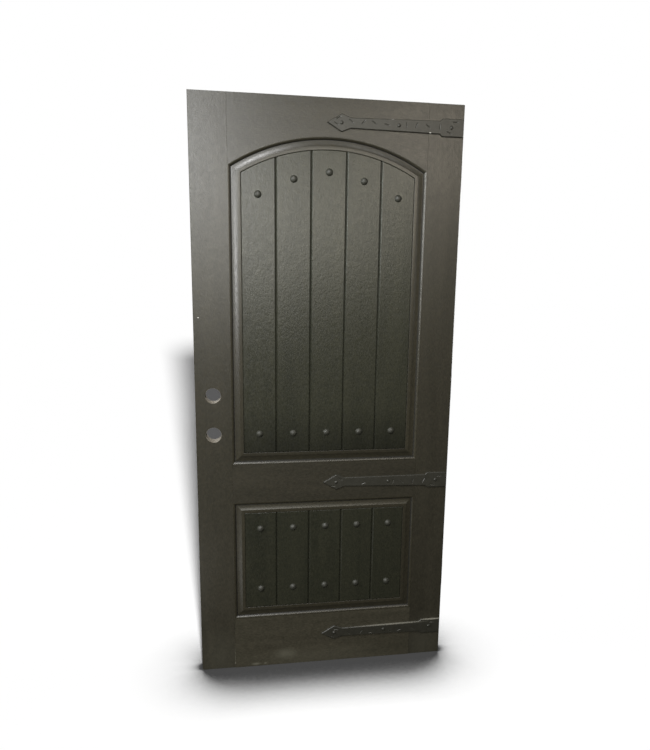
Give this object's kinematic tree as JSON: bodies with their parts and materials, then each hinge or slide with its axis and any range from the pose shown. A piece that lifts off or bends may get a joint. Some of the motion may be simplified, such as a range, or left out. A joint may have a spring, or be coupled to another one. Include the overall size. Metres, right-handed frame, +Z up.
{
  "type": "arched panel door",
  "caption": "Dark stained wooden door slab, an arched plank panel over a square one, with decorative iron nails and straps, lock bores and butt hinges.",
  "frame": {"origin": "middle of the slab's bottom edge, halfway through its thickness", "axes": "+X to the hinge stile, -Y out of the front face with the straps, +Z up the door"},
  "size_m": [0.9217, 0.0694, 2.032],
  "materials": {
    "stained_wood": "dark espresso stain, satin, fine open grain",
    "raw_wood": "plain turned hardwood",
    "black_iron": "blackened, satin, chisel marked",
    "hinge_steel": "black paint, satin"
  },
  "bodies": {
    "top_frame_leaf": {"top_hinge_frame_leaf": "hinge_steel", "top_hinge_pin": "hinge_steel"},
    "door": {"lock_stile": "stained_wood", "hinge_stile": "stained_wood", "top_rail": "stained_wood", "lock_rail": "stained_wood", "bottom_rail": "stained_wood", "upper_plank_1": "stained_wood", "upper_plank_2": "stained_wood", "upper_plank_3": "stained_wood", "upper_plank_4": "stained_wood", "upper_plank_5": "stained_wood", "lower_plank_1": "stained_wood", "lower_plank_2": "stained_wood", "lower_plank_3": "stained_wood", "lower_plank_4": "stained_wood", "lower_plank_5": "stained_wood", "upper_left_moulding_front": "stained_wood", "upper_left_moulding_back": "stained_wood", "upper_arch_moulding_front": "stained_wood", "upper_arch_moulding_back": "stained_wood", "upper_right_moulding_front": "stained_wood", "upper_right_moulding_back": "stained_wood", "upper_bottom_moulding_front": "stained_wood", "upper_bottom_moulding_back": "stained_wood", "lower_left_moulding_front": "stained_wood", "lower_left_moulding_back": "stained_wood", "lower_top_moulding_front": "stained_wood", "lower_top_moulding_back": "stained_wood", "lower_right_moulding_front": "stained_wood", "lower_right_moulding_back": "stained_wood", "lower_bottom_moulding_front": "stained_wood", "lower_bottom_moulding_back": "stained_wood", "dowels": "raw_wood", "top_strap": "black_iron", "middle_strap": "black_iron", "bottom_strap": "black_iron", "strap_nails": "black_iron", "clavos": "black_iron", "top_hinge_door_leaf": "hinge_steel", "middle_hinge_door_leaf": "hinge_steel", "bottom_hinge_door_leaf": "hinge_steel", "hinge_screws": "hinge_steel"},
    "middle_frame_leaf": {"middle_hinge_frame_leaf": "hinge_steel", "middle_hinge_pin": "hinge_steel"},
    "bottom_frame_leaf": {"bottom_hinge_frame_leaf": "hinge_steel", "bottom_hinge_pin": "hinge_steel"}
  },
  "joints": [
    {"name": "door_swing", "type": "hinge", "parent": "top_frame_leaf", "child": "door", "pos_m": [0.458, 0.03072, 1.8034], "axis": [0, 0, -1], "range_deg": [0, 180]},
    {"name": "middle_hinge_swing", "type": "hinge", "parent": "door", "child": "middle_frame_leaf", "pos_m": [0.458, 0.03072, 1.0668], "axis": [0, 0, -1], "range_deg": [-180, 0]},
    {"name": "bottom_hinge_swing", "type": "hinge", "parent": "door", "child": "bottom_frame_leaf", "pos_m": [0.458, 0.03072, 0.3302], "axis": [0, 0, -1], "range_deg": [-180, 0]}
  ],
  "couplings": [
    {"joint": "middle_hinge_swing", "follows": "door_swing", "ratio": -1},
    {"joint": "bottom_hinge_swing", "follows": "door_swing", "ratio": -1}
  ]
}
